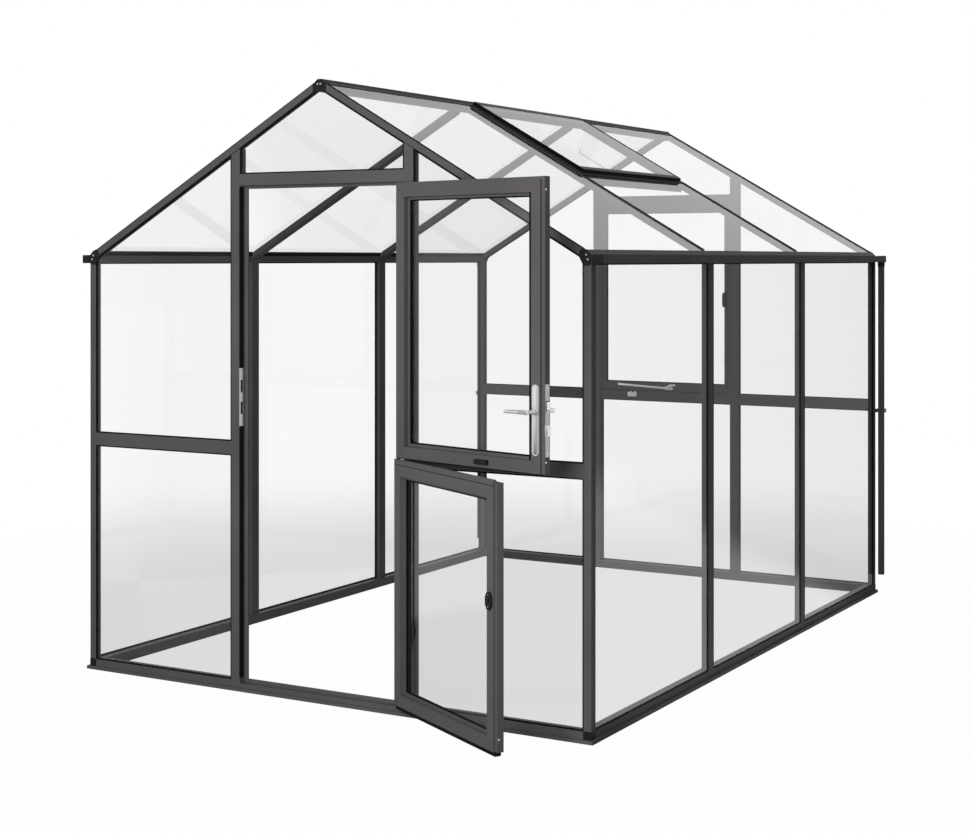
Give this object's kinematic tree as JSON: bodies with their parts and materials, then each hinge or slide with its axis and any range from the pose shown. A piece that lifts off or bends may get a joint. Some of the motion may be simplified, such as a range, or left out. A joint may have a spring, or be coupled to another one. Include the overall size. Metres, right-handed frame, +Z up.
{
  "type": "glass greenhouse",
  "caption": "Gable-roofed garden greenhouse in anthracite aluminium and clear glass, with its split door standing open, a roof vent and a rear window.",
  "frame": {"origin": "centre of the base frame's footprint, at ground level", "axes": "+Z up, -Y out of the door gable, +X to the right of someone who faces the door; the ridge runs along Y"},
  "size_m": [2.346, 3.6165, 2.319],
  "materials": {
    "anthracite_coating": "satin",
    "clear_glass": "glossy",
    "satin_metal": "satin",
    "black_plastic": "matte",
    "seal_rubber": "matte"
  },
  "bodies": {
    "frame": {"base_rails_gable": "anthracite_coating", "base_rails_side": "anthracite_coating", "corner_posts": "anthracite_coating", "side_posts": "anthracite_coating", "eave_beams": "anthracite_coating", "ridge_beam": "anthracite_coating", "ridge_cap": "black_plastic", "gable_rafters_left": "anthracite_coating", "gable_rafters_right": "anthracite_coating", "roof_bars": "anthracite_coating", "door_jambs": "anthracite_coating", "window_jambs": "anthracite_coating", "gable_lintels": "anthracite_coating", "mid_rails": "anthracite_coating", "door_stops": "anthracite_coating", "window_stops": "anthracite_coating", "window_sash": "anthracite_coating", "roof_vent_frame": "anthracite_coating", "vent_crossbar": "anthracite_coating", "end_plates": "black_plastic", "gutters": "anthracite_coating", "downpipes": "anthracite_coating", "pipe_clips": "anthracite_coating", "front_glass": "clear_glass", "rear_glass": "clear_glass", "side_glass": "clear_glass", "roof_glass": "clear_glass", "window_glass": "clear_glass", "roof_vent_glass": "clear_glass", "window_stay": "satin_metal", "stay_peg": "satin_metal", "vent_stay": "satin_metal", "strike_plate": "satin_metal", "window_handle": "black_plastic", "jamb_hinges": "anthracite_coating"},
    "upper_leaf": {"upper_leaf_frame": "anthracite_coating", "upper_leaf_glass": "clear_glass", "upper_leaf_hinges": "anthracite_coating", "lock_plates": "satin_metal", "lock_faceplate": "satin_metal", "leaf_catch": "black_plastic"},
    "lower_leaf": {"lower_leaf_frame": "anthracite_coating", "lower_leaf_glass": "clear_glass", "lower_leaf_hinges": "anthracite_coating", "door_seal": "seal_rubber", "turn_latch": "black_plastic"},
    "lever": {"lever_handles": "satin_metal"}
  },
  "joints": [
    {"name": "upper_leaf_hinge", "type": "hinge", "parent": "frame", "child": "upper_leaf", "pos_m": [0.3715, -1.592, 1.4], "axis": [0, 0, 1], "range_deg": [-164.8, 7.2]},
    {"name": "lower_leaf_hinge", "type": "hinge", "parent": "frame", "child": "lower_leaf", "pos_m": [0.3715, -1.592, 0.5], "axis": [0, 0, 1], "range_deg": [-149.6, 22.4]},
    {"name": "lever_spindle", "type": "hinge", "parent": "upper_leaf", "child": "lever", "pos_m": [1.03756, -1.79317, 1.144], "axis": [-0.2622, -0.965, 0], "range_deg": [0, 45], "stiffness_Nm_per_rad": 1.5, "springref_deg": -20.05}
  ]
}
